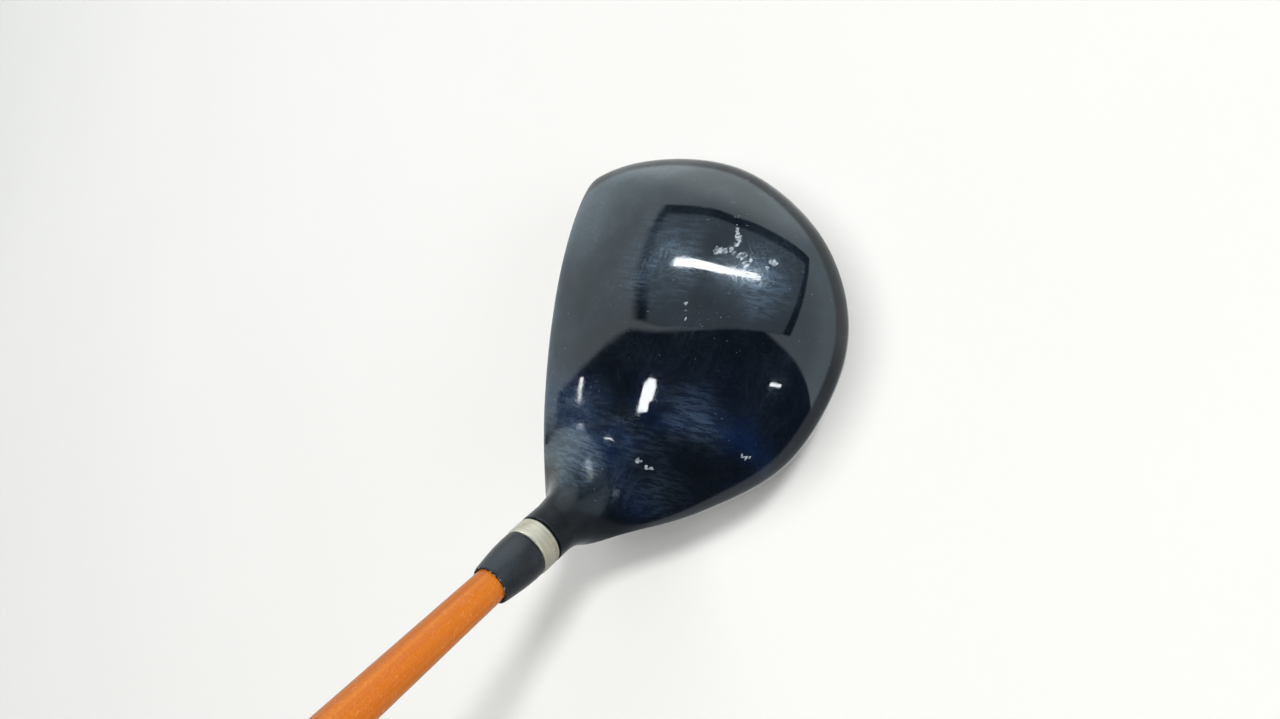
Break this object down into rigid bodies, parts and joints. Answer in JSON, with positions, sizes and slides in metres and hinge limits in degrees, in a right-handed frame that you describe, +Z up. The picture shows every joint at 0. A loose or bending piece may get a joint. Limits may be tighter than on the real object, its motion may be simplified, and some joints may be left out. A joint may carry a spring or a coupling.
{
  "type": "fairway wood golf club",
  "caption": "Right-handed fairway wood: hollow glossy head on an adjustable hosel sleeve, tapered orange shaft, slip-on grip and a screw-in sole weight.",
  "frame": {"origin": "middle of the flat rest patch on the sole, on the ground, with the club at address", "axes": "+X to the rear of the head (the face looks along -X), +Y to the toe, +Z up; the shaft leans 58 degrees from the ground towards -Y, where the golfer stands"},
  "size_m": [0.09, 0.6655, 0.9326],
  "materials": {
    "crown_paint": "deep blue-black pearl under a mirror-gloss clear coat, lightly scuffed",
    "body_paint": "the crown's blue-black gloss paint carried over skirt, hosel and sole",
    "face_steel": "satin blasted face with cut score lines",
    "cast_steel": "bare cast and broached steel",
    "sleeve_alloy": "satin nickel colour with fine turning lines round the collar",
    "screw_steel": "black oxide screw steel",
    "weight_metal": "turned satin steel",
    "seal_rubber": "soft black rubber",
    "hot_melt": "amber hot-melt glue",
    "ferrule_plastic": "black satin gloss, small chips at the shaft end",
    "shaft_lacquer": "clear-coated orange lacquer over graphite composite",
    "tip_brass": "plain turned brass",
    "tape_paper": "creped paper tape",
    "grip_rubber": "matt black rubber with a moulded texture",
    "cap_rubber": "smooth hard black rubber"
  },
  "bodies": {
    "shaft_assembly": {"shaft": "shaft_lacquer", "shaft_sleeve": "sleeve_alloy", "ferrule": "ferrule_plastic", "tip_weight": "tip_brass", "grip_tape": "tape_paper", "grip": "grip_rubber", "grip_cap": "cap_rubber"},
    "head": {"body_shell": "body_paint", "crown_plate": "crown_paint", "face_plate": "face_steel", "damping_pad": "hot_melt", "hosel_insert": "cast_steel", "screw_retainer": "seal_rubber", "screw_washer": "screw_steel"},
    "hosel_screw_body": {"hosel_screw": "screw_steel"},
    "weight_unit": {"weight_cartridge": "weight_metal", "weight_gasket": "seal_rubber"},
    "weight_screw_body": {"weight_screw": "screw_steel"}
  },
  "joints": [
    {"name": "head_release", "type": "slide", "parent": "shaft_assembly", "child": "head", "axis": [0, 0.5299, -0.848], "range_m": [0, 0.008]},
    {"name": "hosel_screw_turn", "type": "hinge", "parent": "head", "child": "hosel_screw_body", "pos_m": [-0.019, -0.02785, 0.01555], "axis": [0, 0.5299, -0.848], "range_deg": [0, 3600]},
    {"name": "weight_release", "type": "slide", "parent": "head", "child": "weight_unit", "axis": [0.3402, -0.0059, -0.9403], "range_m": [0, 0.006]},
    {"name": "weight_screw_turn", "type": "hinge", "parent": "weight_unit", "child": "weight_screw_body", "pos_m": [0.027, 0.003, 0.00317], "axis": [0.3402, -0.0059, -0.9403], "range_deg": [0, 2700]}
  ],
  "couplings": [
    {"joint": "hosel_screw_turn", "follows": "head_release", "rad_per_m": 7853.9},
    {"joint": "weight_screw_turn", "follows": "weight_release", "rad_per_m": 7853.9}
  ]
}
